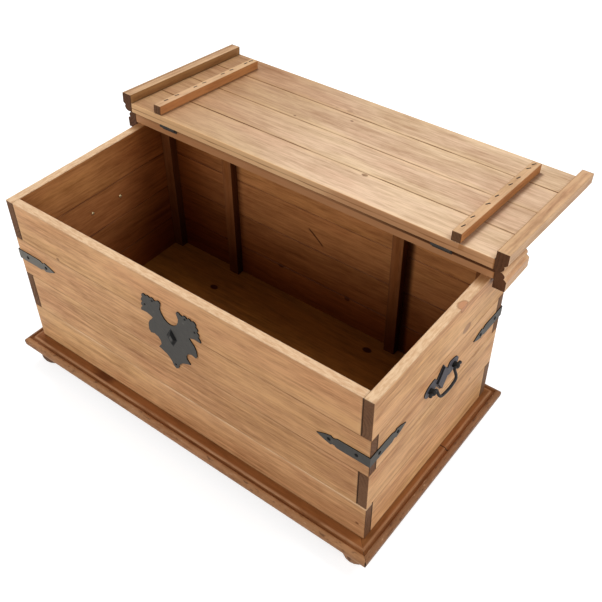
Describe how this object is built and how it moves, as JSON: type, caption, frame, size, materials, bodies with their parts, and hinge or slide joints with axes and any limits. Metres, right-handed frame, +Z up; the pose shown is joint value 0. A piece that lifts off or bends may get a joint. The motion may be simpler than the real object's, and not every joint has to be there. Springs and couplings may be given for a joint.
{
  "type": "storage trunk",
  "caption": "Waxed pine storage trunk on bun feet, with a moulded plinth, a two-part lid folded open on hinges, black iron corner straps, a lock plate and drop handles.",
  "frame": {"origin": "on the ground, under the middle of the trunk with its lid folded back", "axes": "+X along the length, towards the right-hand end; -Y is the front; +Z is up"},
  "size_m": [0.9836, 0.7956, 0.536],
  "materials": {
    "wall_pine": "waxed pine, satin",
    "floor_pine": "stained pine, matt",
    "batten_pine": "stained pine, satin",
    "plinth_pine": "dark waxed pine, satin",
    "foot_pine": "dark waxed pine, satin",
    "lid_pine": "waxed pine, satin",
    "rail_pine": "waxed pine, satin",
    "strap_iron": "blackened iron, satin",
    "lock_iron": "blackened iron, satin",
    "handle_iron": "blackened iron, satin",
    "hinge_iron": "blackened iron, satin",
    "pin_steel": "plain steel"
  },
  "bodies": {
    "trunk": {"back_batten_1": "batten_pine", "back_batten_2": "batten_pine", "back_batten_3": "batten_pine", "back_batten_4": "batten_pine", "back_board_1": "wall_pine", "back_board_2": "wall_pine", "back_board_3": "wall_pine", "back_board_4": "wall_pine", "eye_bolt_left_back": "handle_iron", "eye_bolt_left_front": "handle_iron", "eye_bolt_right_back": "handle_iron", "eye_bolt_right_front": "handle_iron", "floor_panel": "floor_pine", "foot_back_left": "foot_pine", "foot_back_right": "foot_pine", "foot_front_left": "foot_pine", "foot_front_right": "foot_pine", "front_board_1": "wall_pine", "front_board_2": "wall_pine", "front_board_3": "wall_pine", "front_board_4": "wall_pine", "handle_plate_left": "handle_iron", "handle_plate_right": "handle_iron", "hinge_pin_left": "pin_steel", "hinge_pin_right": "pin_steel", "hinge_plate_left": "hinge_iron", "hinge_plate_right": "hinge_iron", "left_board_1": "wall_pine", "left_board_2": "wall_pine", "left_board_3": "wall_pine", "left_board_4": "wall_pine", "lock_boss": "lock_iron", "lock_plate": "lock_iron", "plinth_back": "plinth_pine", "plinth_front": "plinth_pine", "plinth_left": "plinth_pine", "plinth_right": "plinth_pine", "rear_lid_board": "lid_pine", "rear_lid_rail_left": "rail_pine", "rear_lid_rail_right": "rail_pine", "right_board_1": "wall_pine", "right_board_2": "wall_pine", "right_board_3": "wall_pine", "right_board_4": "wall_pine", "strap_back_left": "strap_iron", "strap_back_right": "strap_iron", "strap_front_left": "strap_iron", "strap_front_right": "strap_iron"},
    "lid": {"hinge_flap_left": "hinge_iron", "hinge_flap_right": "hinge_iron", "lid_batten_left": "batten_pine", "lid_batten_right": "batten_pine", "lid_board_1": "lid_pine", "lid_board_2": "lid_pine", "lid_board_3": "lid_pine", "lid_board_4": "lid_pine", "lid_rail_left": "rail_pine", "lid_rail_right": "rail_pine"},
    "bail_left": {"bail_left": "handle_iron"},
    "bail_right": {"bail_right": "handle_iron"}
  },
  "joints": [
    {"name": "lid_hinge", "type": "hinge", "parent": "trunk", "child": "lid", "pos_m": [0, 0.01694, 0.4888], "axis": [1, 0, 0], "range_deg": [0, 184.39]},
    {"name": "bail_left_swing", "type": "hinge", "parent": "trunk", "child": "bail_left", "pos_m": [-0.4693, -0.12556, 0.3225], "axis": [0, 1, 0], "range_deg": [-25, 155]},
    {"name": "bail_right_swing", "type": "hinge", "parent": "trunk", "child": "bail_right", "pos_m": [0.4693, -0.12556, 0.3225], "axis": [0, -1, 0], "range_deg": [-25, 155]}
  ]
}
